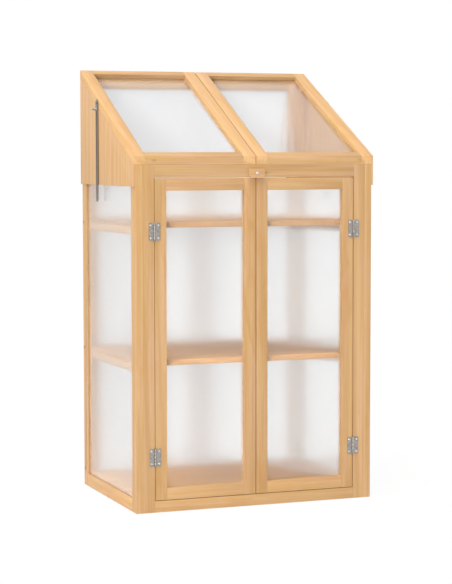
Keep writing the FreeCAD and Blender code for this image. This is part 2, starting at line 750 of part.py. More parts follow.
def lid():
    """The left lid: two stiles along the slope, two rails between them and the sheet."""
    keep_pair(lid_stile("left_lid_outer_stile", GABLE_FACE, "lid_stile", True))
    keep_pair(lid_stile("left_lid_inner_stile", "(-lid_seam / 2 - lid_stile)", "0", False))

    long = f"({LID_LONG} - 2 * lid_stile)"
    place = (f"{GABLE_FACE} + lid_stile", FRONT, "0")
    floor = "(lid_rail - groove_deep)"
    section = [
        ("0", under_roof("0")), on_lid("lid_rail", "lid_thick"),
        on_lid("lid_rail", LID_GROOVE_FAR), on_lid(floor, LID_GROOVE_FAR),
        on_lid(floor, "lid_inset"), on_lid("lid_rail", "lid_inset"),
        on_lid("lid_rail", "0"), ("0", lid_top("0"))]
    tongue = [
        ("0", under_lid_top("0", LID_GROOVE_FAR)), on_lid(floor, LID_GROOVE_FAR),
        on_lid(floor, "lid_inset"), ("0", under_lid_top("0", "lid_inset"))]
    keep_pair(rail("left_lid_front_rail", place, "YZ", long, section, tongue))

    start = f"({RAFTER} - lid_rail)"
    floor = f"({start} + groove_deep)"
    section = [
        (LID_BACK, under_roof(LID_BACK)), (LID_BACK, lid_top(LID_BACK)),
        on_lid(start, "0"), on_lid(start, "lid_inset"), on_lid(floor, "lid_inset"),
        on_lid(floor, LID_GROOVE_FAR), on_lid(start, LID_GROOVE_FAR),
        on_lid(start, "lid_thick")]
    tongue = [
        (LID_BACK, under_lid_top(LID_BACK, LID_GROOVE_FAR)),
        (LID_BACK, under_lid_top(LID_BACK, "lid_inset")),
        on_lid(floor, "lid_inset"), on_lid(floor, LID_GROOVE_FAR)]
    back = rail("left_lid_back_rail", place, "YZ", long, section, tongue)
    spots = []
    for across in lid_hinge_middles():
        for sign in "-+":
            spots.append((
                f"{across} {sign} screw_pitch / 2 - ({place[0]})",
                f"{under_roof(LID_BACK)} + screw_from_axis"))
    pilots = rounds(back, "XZ", spots, PILOT, HOLE_FACETS, "frame_depth", True)
    pocket(back, "XZ", pilots, PILOT_DEEP, backwards=True)
    keep_pair(back)

    pane = new_body("left_lid_pane", f"{place[0]} - {BARE_GROOVE}", FRONT, "0")
    near = f"(lid_rail - {BARE_GROOVE})"
    far = f"({RAFTER} - {near})"
    section = [
        on_lid(near, LID_GROOVE_FAR), on_lid(far, LID_GROOVE_FAR),
        on_lid(far, "lid_inset"), on_lid(near, "lid_inset")]
    pad(pane, "YZ", outline(pane, "YZ", section), f"{long} + 2 * {BARE_GROOVE}")
    keep_pair(pane)


def lid_hinge_middles():
    """Where the left lid's two hinges lie along the back, at their mid length."""
    return [f"({GABLE_FACE} + lid_hinge_inset)", "(-lid_hinge_inset)"]


# Hinges: a leaf lies flat on the face y = 0, its barrel along Z just in front of it

AXIS = [("0", f"-{BARREL}")]


def hinge_leaf(label, side, owned):
    """A leaf on one side of the barrel, with the knuckles that it owns."""
    body = new_body(label, "0", "0", "0")
    start = "-leaf_wide" if side < 0 else BARREL
    plate = box(start, "-leaf_thick", f"(leaf_wide - {BARREL})", "leaf_thick")
    pad(body, "XY", outline(body, "XY", plate), "hinge_high")
    step = f"(hinge_high / {KNUCKLES})"
    for number in owned:
        room = "0" if 0 in owned else "knuckle_room"
        low = f"({number} * {step} + {room})"
        high = f"({step} - 2 * {room})"
        start = f"-{BARREL}" if side < 0 else "0"
        web = box(start, "-leaf_thick", BARREL, "leaf_thick")
        pad(body, "XY", outline(body, "XY", web, low), high)
        ring = rounds(body, "XY", AXIS, "barrel_diameter", HINGE_FACETS, low)
        pad(body, "XY", ring, high)
    if 0 in owned:
        bore = rounds(body, "XY", AXIS, "pin_diameter", HINGE_FACETS)
    else:
        bore = rounds(body, "XY", AXIS, "pin_diameter + 2 * pin_room", HINGE_FACETS, hole=True)
    pocket(body, "XY", bore)
    across = f"{side} * screw_from_axis"
    spots = [(across, "hinge_high / 2 - screw_pitch / 2"), (across, "hinge_high / 2 + screw_pitch / 2")]
    depth = f"min({COUNTERSINK}; leaf_thick - hole_room)"
    bore = f"(screw_head + 2 * hole_room - 2 * {depth})"
    holes = rounds(body, "XZ", spots, bore, SCREW_FACETS, "-leaf_thick", True)
    drilled = pocket(body, "XZ", holes)
    body.Tip = countersunk(body, drilled, "-leaf_thick", spots, "screw_head / 2", depth)
    return body


COUNTERSINK = "((screw_head - screw_shank) / 2)"


def screw(label, head, shank, head_high, long):
    """A countersunk screw along Z, head upwards and level with z = 0."""
    start = f"-({long} - {shank})"
    return turned(label, SCREW_FACETS, [
        (f"-{head_high}", shank, "0", head),
        (start, shank, f"-{head_high}", shank),
        (f"-{long}", "0", start, shank)])


def hinges():
    """All leaves, pins and hinge screws, gathered by the piece that carries them."""
    fixed_leaf = hinge_leaf("fixed_leaf", -1, (0, 2, 4))
    moving_leaf = hinge_leaf("moving_leaf", 1, (1, 3))
    pin = new_body("pin", "0", "0", "0")
    pad(pin, "XY", rounds(pin, "XY", AXIS, "pin_diameter", HINGE_FACETS), "hinge_high")
    leaf_screw = screw("leaf_screw", "screw_head", "screw_shank", COUNTERSINK, "screw_long")

    fixed_leaves, pins, cabinet_screws = [], [], []
    door_set, lid_set = [], []
    for height in HINGE_HEIGHTS:
        spot = (DOOR_AXIS, FRONT, f"{height} - hinge_high / 2")
        fixed_leaves.append(copy_of(fixed_leaf, "upright", *spot))
        pins.append(copy_of(pin, "upright", *spot))
        door_set.append(copy_of(moving_leaf, "upright", *spot))
        for sign in "-+":
            level = f"{height} {sign} screw_pitch / 2"
            face = f"{FRONT} - leaf_thick"
            inner = (f"{DOOR_AXIS} - screw_from_axis", face, level)
            cabinet_screws.append(copy_of(leaf_screw, "facing_front", *inner))
            outer = (f"{DOOR_AXIS} + screw_from_axis", face, level)
            door_set.append(copy_of(leaf_screw, "facing_front", *outer))
    ridge = under_roof("frame_depth")
    for across in lid_hinge_middles():
        spot = (f"{across} - hinge_high / 2", BACK, ridge)
        fixed_leaves.append(copy_of(fixed_leaf, "on_back", *spot))
        pins.append(copy_of(pin, "on_back", *spot))
        lid_set.append(copy_of(moving_leaf, "on_back", *spot))
        for sign in "-+":
            side = f"{across} {sign} screw_pitch / 2"
            face = f"{BACK} + leaf_thick"
            lower = (side, face, f"{ridge} - screw_from_axis")
            cabinet_screws.append(copy_of(leaf_screw, "facing_back", *lower))
            upper = (side, face, f"{ridge} + screw_from_axis")
            lid_set.append(copy_of(leaf_screw, "facing_back", *upper))
    keep_pair(group("left_door_hinge_leaves", door_set))
    keep_pair(group("left_lid_hinge_leaves", lid_set))
    left_leaves = group("left_fixed_leaves", fixed_leaves)
    keep(group("fixed_hinge_leaves", [left_leaves, mirror_of(left_leaves, "right_fixed_leaves")]))
    left_pins = group("left_pins", pins)
    keep(group("hinge_pins", [left_pins, mirror_of(left_pins, "right_pins")]))
    return cabinet_screws


def frame_joints():
    """The long screws that tie the front and back frames to the left side frame."""
    joint_screw = screw("joint_screw", "joint_head", "joint_shank", "joint_head_high", "joint_long")
    made = []
    for height in JOINT_HEIGHTS:
        rear = (SIDE, f"{BACK} - frame_thick / 2", height)
        made.append(copy_of(joint_screw, "facing_left", *rear))
        front = (STILE_EDGE, f"{FRONT} + frame_thick / 2", height)
        made.append(copy_of(joint_screw, "facing_right", *front))
    return made


# Turn button

PAN_HEAD = [
    ("0", "pivot_head", "pivot_head_high / 2", "pivot_head"),
    ("pivot_head_high / 2", "pivot_head", "pivot_head_high", "pivot_head - pivot_head_high"),
]


def turn_button():
    """The wooden button at the meeting of the doors, lying across, with its screw."""
    body = new_body("turn_button", "-button_long / 2", f"{FRONT} - button_room", BUTTON_HEIGHT)
    face = box("0", "-button_wide / 2", "button_long", "button_wide")
    bar = pad(body, "XZ", outline(body, "XZ", face, "-button_thick"), "button_thick")
    rounded(body, bar, "button_corner", FreeCAD.Vector(0, 1, 0))
    middle = [("button_long / 2", "0")]
    shank = "pivot_shank + 2 * hole_room"
    hole = rounds(body, "XZ", middle, shank, SCREW_FACETS, "-button_thick", True)
    body.Tip = pocket(body, "XZ", hole)
    keep(body)

    start = "-(pivot_long - pivot_shank)"
    pivot = turned("button_screw", SCREW_FACETS, PAN_HEAD + [
        (start, "pivot_shank", "0", "pivot_shank"),
        ("-pivot_long", "pivot_shank / 4", start, "pivot_shank")])
    face = f"{FRONT} - button_room - button_thick"
    return copy_of(pivot, "facing_front", "0", face, BUTTON_HEIGHT)


# Lid stays

SLOT_WIDE = "(bolt_diameter + 2 * slot_room)"


def stay_bar():
    """The slotted bar with round ends, and the screw that carries it on the lid."""
    body = new_body("stay_strip", BAR_FACE, f"{FRONT} + stay_back", BOLT_HEIGHT)
    top = "(bar_above + bar_end)"
    low = "(-slot_below - slot_end)"
    end = "(bar_wide / 2)"
    middle = box(f"-{end}", f"({low} + {end})", "bar_wide", f"({top} - ({low}) - bar_wide)")
    pad(body, "YZ", outline(body, "YZ", middle), "bar_thick")
    for height in (f"{low} + {end}", f"{top} - {end}"):
        pad(body, "YZ", circles(body, "YZ", [("0", height)], "bar_wide"), "bar_thick")
    half = f"({SLOT_WIDE} / 2)"
    long = f"(slot_above + slot_below - {SLOT_WIDE})"
    slot = box(f"-{half}", f"-(slot_below - {half})", SLOT_WIDE, long)
    pocket(body, "YZ", outline(body, "YZ", slot))
    for height in (f"-(slot_below - {half})", f"slot_above - {half}"):
        pocket(body, "YZ", circles(body, "YZ", [("0", height)], SLOT_WIDE))
    shank = "stay_shank + 2 * hole_room"
    eye = rounds(body, "YZ", [("0", "bar_above")], shank, SCREW_FACETS, hole=True)
    body.Tip = pocket(body, "YZ", eye)

    end = "-(bar_thick + washer_thick - stay_gap)"
    pivot = turned("stay_screw", SCREW_FACETS, PAN_HEAD + [(end, "stay_shank", "0", "stay_shank")])
    spot = (BAR_FACE, f"{FRONT} + stay_back", f"{BOLT_HEIGHT} + bar_above")
    keep_pair(group("left_stay_bar", [body, copy_of(pivot, "facing_left", *spot)]))


def stay_fixings():
    """The washer, bolt and wing nut that the bar slides on."""
    place = (GABLE_FACE, f"{FRONT} + stay_back", BOLT_HEIGHT)
    washer = new_body("left_stay_washer", f"{GABLE_FACE} - washer_thick", place[1], place[2])
    disc = rounds(washer, "YZ", [("0", "0")], "washer_diameter", BOLT_FACETS)
    pad(washer, "YZ", disc, "washer_thick")
    shank = "bolt_diameter + 2 * hole_room"
    hole = rounds(washer, "YZ", [("0", "0")], shank, BOLT_FACETS, hole=True)
    washer.Tip = pocket(washer, "YZ", hole)
    keep_pair(washer)

    reach = "(gable_thick + washer_thick + bar_thick + bolt_reach)"
    bolt = turned("stay_bolt", BOLT_FACETS, [
        ("-bolt_head_high", "bolt_head * 0.5", "-bolt_head_high / 2", "bolt_head * 0.85"),
        ("-bolt_head_high / 2", "bolt_head * 0.85", "0", "bolt_head"),
        ("0", "bolt_diameter", f"{reach} - bolt_lead", "bolt_diameter"),
        (f"{reach} - bolt_lead", "bolt_diameter", reach, "bolt_diameter - 2 * bolt_lead")])
    left = group("left_stay_bolt", [copy_of(bolt, "facing_left", SIDE, place[1], place[2])])
    keep(group("stay_bolts", [left, mirror_of(left, "right_stay_bolt")]))

    nut = turned("left_wing_nut", BOLT_FACETS, [
        ("0", "hub_diameter", "hub_high", "hub_diameter * 0.8")])
    for side in (-1, 1):
        inner = f"({side} * bolt_diameter / 2)"
        root = f"({side} * hub_diameter / 2)"
        tip = f"({side} * wing_span / 2)"
        wing = [
            (inner, "hub_high / 5"), (root, "hub_high / 5"), (tip, "wing_high * 0.6"),
            (tip, "wing_high"), (f"({side} * (wing_span / 2 - wing_thick * 2))", "wing_high"),
            (root, "hub_high"), (inner, "hub_high")]
        pad(nut, "XZ", outline(nut, "XZ", wing, "-wing_thick / 2"), "wing_thick")
    bore = rounds(nut, "XY", [("0", "0")], shank, BOLT_FACETS, hole=True)
    nut.Tip = pocket(nut, "XY", bore)
    nut.Placement = FreeCAD.Placement(FreeCAD.Vector(), TURNS["facing_left"])
    for axis, text in zip("xyz", (BAR_FACE, place[1], place[2])):
        nut.setExpression(f"Placement.Base.{axis}", sized(text))
    keep_pair(nut)


def cabinet_screws(left):
    """Every screw that stays with the cabinet, as one group."""
    one_side = group("left_cabinet_screws", left)
    button_screw = turn_button()
    twins = mirror_of(one_side, "right_cabinet_screws")
    keep(group("cabinet_screws", [one_side, twins, button_screw]))


def check_and_write():
    """Stop on any failed object or bad solid, then write one file for each piece."""
    doc.recompute()
    for item in doc.Objects:
        if "Invalid" in item.State or "Error" in item.State:
            raise SystemExit(f"{item.Label} failed: {item.State}")
    os.makedirs("parts", exist_ok=True)
    for piece in parts:
        shape = piece.Shape
        if shape.isNull() or not shape.isValid() or not shape.Solids:
            raise SystemExit(f"{piece.Label} has no valid solid")
        shape.exportStep(f"parts/{piece.Label}.step")
        print(f"{piece.Label}: {len(shape.Solids)} solid(s), {shape.Volume / 1000:.1f} cm3")
    whole = Part.makeCompound([piece.Shape for piece in parts]).BoundBox
    print(f"{len(parts)} pieces, {whole.XLength:.1f} x {whole.YLength:.1f} x {whole.ZLength:.1f} mm")


side_frame()
front_frame()
back_frame()
shelves()
door()
lid()
cabinet_screws(hinges() + frame_joints())
stay_bar()
stay_fixings()
check_and_write()
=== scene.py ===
import json
import math

import bmesh
import bpy
from mathutils import Matrix, Vector


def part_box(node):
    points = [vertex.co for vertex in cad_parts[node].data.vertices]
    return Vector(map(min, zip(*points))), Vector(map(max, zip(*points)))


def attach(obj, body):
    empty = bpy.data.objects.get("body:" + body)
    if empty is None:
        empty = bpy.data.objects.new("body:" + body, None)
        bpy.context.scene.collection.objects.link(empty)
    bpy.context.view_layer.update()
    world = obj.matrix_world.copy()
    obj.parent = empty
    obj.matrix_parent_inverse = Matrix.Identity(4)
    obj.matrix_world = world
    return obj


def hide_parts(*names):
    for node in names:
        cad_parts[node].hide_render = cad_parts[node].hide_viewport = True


# Wooden mini greenhouse. Metres, in the frame of the CAD model: +Z up, the
# doors towards -Y, the origin on the ground at the middle of the footprint.

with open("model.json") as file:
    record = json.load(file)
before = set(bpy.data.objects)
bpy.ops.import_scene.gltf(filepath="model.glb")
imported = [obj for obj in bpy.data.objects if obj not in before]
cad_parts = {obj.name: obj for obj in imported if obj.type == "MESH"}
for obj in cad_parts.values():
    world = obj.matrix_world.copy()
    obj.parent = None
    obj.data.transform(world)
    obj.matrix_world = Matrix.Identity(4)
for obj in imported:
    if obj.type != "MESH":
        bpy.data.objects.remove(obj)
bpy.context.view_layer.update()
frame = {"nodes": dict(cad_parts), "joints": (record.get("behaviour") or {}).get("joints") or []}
joints = {joint["name"]: joint for joint in frame["joints"]}

MM = 0.001
SIDES = ("left", "right")
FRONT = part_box("front_top_rail")[0].y
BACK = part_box("back_top_rail")[1].y
DOOR_AXIS = Vector(joints["right_door"]["pos_m"])
LID_AXIS = Vector(joints["left_lid"]["pos_m"])
BOLT = Vector((0, *joints["left_stay_swivel"]["pos_m"][1:]))
ROOF_RISE, ROOF_RUN = 246 * MM, 486 * MM
SLOPE = math.atan2(ROOF_RISE, ROOF_RUN)
MIRROR = Matrix.Scale(-1, 4, (1, 0, 0))

# Where a pattern's own X, Y and Z axes point once it is in its place
UPRIGHT = ((1, 0, 0), (0, 1, 0), (0, 0, 1))
ON_BACK = ((0, 0, 1), (0, -1, 0), (1, 0, 0))
FACING_FRONT = ((1, 0, 0), (0, 0, 1), (0, -1, 0))
FACING_BACK = ((1, 0, 0), (0, 0, -1), (0, 1, 0))
FACING_LEFT = ((0, 1, 0), (0, 0, -1), (-1, 0, 0))
FACING_RIGHT = ((0, 1, 0), (0, 0, 1), (1, 0, 0))

# How nearly an edge runs along an axis, and how nearly a face looks along one
STRAIGHT, FACING = 0.999, 0.9


# Working with one piece at a time

def pick(*pieces):
    """Deselect everything, then select these pieces and make the first one active."""
    if bpy.context.object and bpy.context.object.mode != "OBJECT":
        bpy.ops.object.mode_set(mode="OBJECT")
    bpy.ops.object.select_all(action="DESELECT")
    for piece in pieces:
        piece.select_set(True)
    bpy.context.view_layer.objects.active = pieces[0]


def edit_whole(piece):
    """Go into edit mode with all of a piece selected."""
    pick(piece)
    bpy.ops.object.mode_set(mode="EDIT")
    bpy.ops.mesh.select_all(action="SELECT")


def edit_some(piece, kind, wanted):
    """Go into edit mode with just the wanted edges ("EDGE") or faces ("FACE") selected."""
    pick(piece)
    bpy.ops.object.mode_set(mode="EDIT")
    bpy.ops.mesh.select_mode(type=kind)
    bpy.ops.mesh.select_all(action="DESELECT")
    mesh = bmesh.from_edit_mesh(piece.data)
    for element in mesh.edges if kind == "EDGE" else mesh.faces:
        element.select_set(bool(wanted(element)))
    bmesh.update_edit_mesh(piece.data)


def done():
    """Leave edit mode."""
    bpy.ops.object.mode_set(mode="OBJECT")


def started(name, add, **settings):
    """Start a piece from one of Blender's own shapes."""
    bpy.ops.object.select_all(action="DESELECT")
    add(**settings)
    piece = bpy.context.object
    piece.name = name
    return piece


def settle(piece):
    """Put a piece's place, turn and size into its mesh."""
    pick(piece)
    bpy.ops.object.transform_apply(location=True, rotation=True, scale=True)
    return piece


def block(name, low, high):
    """Start a piece as a block between two corners."""
    low, high = Vector(low), Vector(high)
    piece = started(name, bpy.ops.mesh.primitive_cube_add, size=1, location=(low + high) / 2)
    piece.scale = high - low
    return settle(piece)


def rod(name, radius, low, high, sides=32, top_radius=None):
    """Start a piece as a round bar or cone along Z between two heights."""
    return settle(started(
        name, bpy.ops.mesh.primitive_cone_add, vertices=sides, radius1=radius,
        radius2=radius if top_radius is None else top_radius,
        depth=high - low, location=(0, 0, (low + high) / 2)))


def along(edge, axis):
    """Whether an edge runs along axis 0, 1 or 2."""
    run = (edge.verts[1].co - edge.verts[0].co).normalized()
    return abs(run[axis]) > STRAIGHT


def above(level):
    """A test for edges that lie wholly above a level."""
    return lambda edge: min(vertex.co.z for vertex in edge.verts) > level


def round_edges(piece, wanted, radius, segments):
    """Round the edges for which wanted(edge) is true."""
    edit_some(piece, "EDGE", wanted)
    bpy.ops.mesh.bevel(offset=radius, segments=segments, affect="EDGES", clamp_overlap=True)
    done()
    return piece


def applied(piece, modifier):
    """Make what a modifier does part of the piece's mesh."""
    pick(piece)
    bpy.ops.object.modifier_apply(modifier=modifier.name)
    return piece


def soften(piece, radius, segments=2, angle=35):
    """Take the sharpness off every edge of a finished shape."""
    modifier = piece.modifiers.new("soften", "BEVEL")
    modifier.width = radius
    modifier.segments = segments
    modifier.limit_method = "ANGLE"
    modifier.angle_limit = math.radians(angle)
    modifier.use_clamp_overlap = True
    return applied(piece, modifier)


def combine(piece, operation, other):
    """Work one shape into a piece by a boolean operation, and put that shape away."""
    modifier = piece.modifiers.new("combine", "BOOLEAN")
    modifier.operation = operation
    modifier.solver = "EXACT"
    modifier.object = other
    applied(piece, modifier)
    bpy.data.objects.remove(other)
    return piece


def carve(piece, cutter):
    """Cut one shape out of another."""
    return combine(piece, "DIFFERENCE", cutter)


def weld_on(piece, addition):
    """Join a second shape to a piece as one closed surface."""
    return combine(piece, "UNION", addition)


def together(name, pieces):
    """Make one piece of several shapes that stay separate surfaces."""
    pick(*pieces)
    bpy.ops.object.join()
    piece = bpy.context.object
    piece.name = name
    return piece


def placed(pattern, matrix):
    """A copy of a pattern, with its own mesh, moved to its place."""
    copy = bpy.data.objects.new(pattern.name + "_copy", pattern.data.copy())
    bpy.context.scene.collection.objects.link(copy)
    copy.data.transform(matrix)
    if matrix.determinant() < 0:
        copy.data.flip_normals()
    return copy


def frame_of(axes, origin):
    """The matrix that takes a pattern's own axes to these, at an origin."""
    turn = Matrix(axes).transposed().to_4x4()
    return Matrix.Translation(Vector(origin)) @ turn


def dress(piece, body, finish, node):
    """Give a finished piece its material and its body, and hide the CAD node that it stands for.
    """
    piece.data.materials.clear()
    piece.data.materials.append(finish)
    pick(piece)
    bpy.ops.object.shade_smooth_by_angle(angle=math.radians(32))
    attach(piece, body)
    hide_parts(node)
    return piece


def dress_pair(piece, body, finish, node):
    """Dress a left-hand piece and its mirror image, whose names say right for left."""
    twin = placed(piece, MIRROR)
    twin.name = piece.name.replace("left_", "right_")
    for one, side in ((piece, "left_"), (twin, "right_")):
        dress(one, body.replace("left_", side), finish, node.replace("left_", side))


# Finishes

class Nodes:
    """The node tree of a material or a world: short names for its nodes and links."""

    def __init__(self, owner, output):
        owner.use_nodes = True
        self.owner = owner
        self.tree = owner.node_tree
        self.tree.nodes.clear()
        self.output = self.tree.nodes.new(output)

    def node(self, kind, inputs=None, **settings):
        """A node with its settings. Each input is a link to an output, or a plain value."""
        node = self.tree.nodes.new("ShaderNode" + kind)
        for key, setting in settings.items():
            setattr(node, key, setting)
        for key, source in (inputs or {}).items():
            if hasattr(source, "is_linked"):
                self.tree.links.new(source, node.inputs[key])
            else:
                node.inputs[key].default_value = source
        return node

    def place(self):
        return self.node("TexCoord").outputs["Object"]

    def mapped(self, source, scale=(1, 1, 1), shift=(0, 0, 0), turn=(0, 0, 0)):
        return self.node(
            "Mapping", {"Vector": source, "Location": shift, "Rotation": turn, "Scale": scale}
        ).outputs["Vector"]

    def noise(self, source, scale, detail=3, roughness=0.55, distortion=0):
        return self.node("TexNoise", {
            "Vector": source, "Scale": scale, "Detail": detail, "Roughness": roughness,
            "Distortion": distortion}).outputs["Fac"]

    def math(self, operation, *sources):
        return self.node(
            "Math", dict(enumerate(sources)), operation=operation).outputs["Value"]

    def remap(self, source, low, high, start=0, end=1, kind="LINEAR"):
        """A value that goes from low to high while the source goes from start to end."""
        return self.node("MapRange", {
            "Value": source, "From Min": start, "From Max": end, "To Min": low,
            "To Max": high}, interpolation_type=kind).outputs["Result"]

    def ramp(self, source, black, white):
        """Black up to one value of the source, and white from the other on."""
        node = self.node("ValToRGB", {"Fac": source})
        first, last = node.color_ramp.elements
        first.position, last.position = black, white
        return node.outputs["Color"]

    def mix(self, amount, first, second):
        """A colour between two. Sockets 0, 6, 7 and output 2 are the node's colour ones."""
        first, second = (
            (*colour, 1) if isinstance(colour, tuple) else colour for colour in (first, second))
        return self.node("Mix", {0: amount, 6: first, 7: second}, data_type="RGBA").outputs[2]

    def bump(self, height, strength, distance):
        return self.node(
            "Bump", {"Height": height, "Strength": strength, "Distance": distance}
        ).outputs["Normal"]

    def principled(self, **inputs):
        return self.node("BsdfPrincipled", {
            key.replace("_", " "): source for key, source in inputs.items()})

    def surface(self, shader):
        """Finish the tree with this shader, and give back what it belongs to."""
        self.tree.links.new(shader.outputs[0], self.output.inputs["Surface"])
        return self.owner

    def between(self, amount, first, second):
        """Finish the tree with a blend of two shaders."""
        return self.surface(self.node(
            "MixShader", {0: amount, 1: first.outputs[0], 2: second.outputs[0]}))

    def in_view(self):
        """1 where the camera looks at this straight, through a sheet or in a reflection."""
        path = self.node("LightPath")
        seen = self.math(
            "MAXIMUM", path.outputs["Is Camera Ray"], path.outputs["Is Transmission Ray"])
        return self.math("MAXIMUM", seen, path.outputs["Is Glossy Ray"])


def new_finish(name):
    return Nodes(bpy.data.materials.new(name), "ShaderNodeOutputMaterial")


def shade(colour, share):
    """A darker shade of a colour."""
    return tuple(part * share for part in colour)


# Fir: two colours of early wood, the late wood's, orange heartwood's and a knot's
ROSE, STRAW = (0.685, 0.416, 0.222), (0.645, 0.402, 0.165)
LATE, AMBER = (0.525, 0.278, 0.100), (0.560, 0.285, 0.088)
KNOT_BROWN = (0.42, 0.19, 0.06)

# Its layers of noise: the scale along the grain, how fine it is, and the detail,
# roughness and distortion
WANDER = (0.25, 7, 2, 0.55, 0)
FIBRES = (0.018, 420, 5, 0.62, 0)
VEINS = (0.022, 150, 3, 0.55, 0.2)
STREAKS = (0.04, 75, 3, 0.6, 0.3)
PATCHES = (0.25, 42, 3, 0.5, 0.8)
WIDE_PATCHES = (0.32, 9, 2, 0.5, 0)
RINGS = {
    "Scale": 17, "Distortion": 6.5, "Detail": 3, "Detail Scale": 1.6, "Detail Roughness": 0.6}
RINGS_ALONG, KNOT_ALONG = 0.03, 0.5


def fir(name, grain, seed, tone, warmth, knots=(), hue=(1, 1, 1)):
    """Planed fir with its grain along an axis, or up the roof's slope.

    tone brightens or darkens the board, hue does so for each of red, green and
    blue, warmth is how much of it is orange heartwood, and knots are places
    where a branch shows."""
    finish = new_finish(name)
    place = finish.place()
    if grain == "slope":
        place = finish.mapped(place, turn=(-SLOPE, 0, 0))
        grain = "Y"
    shift = (seed * 0.37, seed * 0.53, seed * 0.71)

    def drawn(amount):
        return tuple(amount if letter == grain else 1.0 for letter in "XYZ")

    def layer(amount, *settings):
        return finish.noise(finish.mapped(place, drawn(amount), shift), *settings)

    rings = finish.node(
        "TexWave", {"Vector": finish.mapped(place, drawn(RINGS_ALONG), shift), **RINGS},
        wave_type="BANDS", bands_direction="DIAGONAL", wave_profile="SIN").outputs["Fac"]
    fibres = layer(*FIBRES)
    wander = finish.math("ADD", layer(*WANDER), 0.1)
    ring_lines = finish.math("MULTIPLY", finish.math("POWER", rings, 2.0), wander)
    patches = finish.math("MULTIPLY", layer(*PATCHES), layer(*WIDE_PATCHES))

    rose, straw, late, amber = (
        tuple(tone * part * share for part, share in zip(colour, hue))
        for colour in (ROSE, STRAW, LATE, AMBER))
    colour = finish.mix(finish.ramp(layer(*STREAKS), 0.40, 0.60), straw, rose)
    for mask, strength, over in (
            (ring_lines, 0.62, late), (finish.ramp(fibres, 0.36, 0.66), 0.22, late),
            (finish.ramp(layer(*VEINS), 0.52, 0.68), 0.50, late),
            (finish.ramp(patches, 0.22, 0.40), warmth, amber)):
        colour = finish.mix(finish.math("MULTIPLY", mask, strength), colour, over)
    for spot, radius, strength in knots:
        stretch = drawn(KNOT_ALONG)
        shift_here = tuple(-part * factor for part, factor in zip(spot, stretch))
        away = finish.node(
            "VectorMath", {0: finish.mapped(finish.place(), stretch, shift_here)},
            operation="LENGTH").outputs["Value"]
        here = finish.remap(away, strength, 0, radius * 0.25, radius, "SMOOTHSTEP")
        colour = finish.mix(here, colour, KNOT_BROWN)
    relief = finish.math("ADD", fibres, finish.math("MULTIPLY", rings, 0.25))
    return finish.surface(finish.principled(
        Base_Color=colour, Roughness=finish.remap(fibres, 0.48, 0.66),
        Specular_IOR_Level=0.45, Normal=finish.bump(relief, 0.22, 0.6 * MM)))


# A sheet's flutes: their spacing, the crown's share of each, and half the step
# from crown to flank. LAMPLIGHT is how much of the lamps' light passes the sheet
FLUTE, CROWN, HALF_STEP = 2.0 * MM, 0.45, 0.03
LAMPLIGHT = 0.97


# A sheet's tint is a little blue by default: painted light that takes out the warm light thrown
# on it by the wood.
def polycarbonate(
        name, across, flank_lean, frosting=(0.12, 0.18), clear=0.97, tint=(0.988, 0.995, 1.0)):
    """Frosted sheet with fine flutes, lengthwise, spaced along an axis.

    The crown of a flute lets a view straight through, a little blurred. Its
    flanks turn the view far aside, so that upright things behind the sheet
    fade and level ones, such as a shelf, stay plain."""
    finish = new_finish(name)
    place = finish.place()
    axes = finish.node("SeparateXYZ", {"Vector": finish.mapped(place, (1 / FLUTE,) * 3)})
    offset = finish.math("SUBTRACT", finish.math("FRACT", axes.outputs[across]), 0.5)
    flank = finish.remap(
        finish.math("ABSOLUTE", offset), 0, 1, CROWN / 2 - HALF_STEP, CROWN / 2 + HALF_STEP,
        "SMOOTHSTEP")
    geometry = finish.node("NewGeometry")
    entering = finish.math("SUBTRACT", 1.0, geometry.outputs["Backfacing"])
    lean = finish.math("MULTIPLY", finish.math("SIGN", offset), flank)
    lean = finish.math("MULTIPLY", lean, finish.math("MULTIPLY", entering, flank_lean))
    sideways = finish.node(
        "VectorTransform", {"Vector": tuple(float(letter == across) for letter in "XYZ")},
        vector_type="VECTOR", convert_from="OBJECT", convert_to="WORLD")
    turned = finish.node(
        "VectorMath", {0: sideways.outputs["Vector"], "Scale": lean}, operation="SCALE")
    leaning = finish.node(
        "VectorMath", {0: geometry.outputs["Normal"], 1: turned.outputs["Vector"]},
        operation="ADD")
    normal = finish.node("VectorMath", {0: leaning.outputs["Vector"]}, operation="NORMALIZE")
    frost = finish.noise(place, 300, roughness=0.6)
    cloud = finish.math("MULTIPLY", finish.noise(place, 14), 0.05)
    sheet = finish.principled(
        Base_Color=finish.mix(cloud, tint, shade(tint, 0.965)),
        Roughness=finish.remap(frost, *frosting), IOR=1.5, Specular_IOR_Level=0.25,
        Transmission_Weight=clear, Normal=normal.outputs["Vector"])
    lamplight = finish.node("BsdfTransparent", {"Color": (LAMPLIGHT, LAMPLIGHT, LAMPLIGHT, 1)})
    path = finish.node("LightPath")
    return finish.between(path.outputs["Is Shadow Ray"], sheet, lamplight)


def zinc(name, colour, roughness, cloudy=0.22):
    """Zinc-plated steel: cloudy, faintly brushed."""
    finish = new_finish(name)
    place = finish.place()
    cloud = finish.noise(place, 190, detail=4, roughness=0.6)
    brush = finish.noise(finish.mapped(place, scale=(1, 1, 0.08)), 1500, detail=2)
    return finish.surface(finish.principled(
        Base_Color=finish.mix(
            finish.ramp(cloud, 0.38, 0.7), colour, shade(colour, 1 - cloudy)),
        Metallic=1.0, Roughness=finish.remap(cloud, roughness - 0.08, roughness + 0.14),
        Normal=finish.bump(brush, 0.12, 0.1 * MM)))


# Two knots in the lids' front rails: the place, the radius and how plainly each shows
KNOTS = (
    ((-292 * MM, FRONT, 945.5 * MM), 5.0 * MM, 0.55),
    ((310 * MM, FRONT, 945.5 * MM), 4.5 * MM, 0.50))
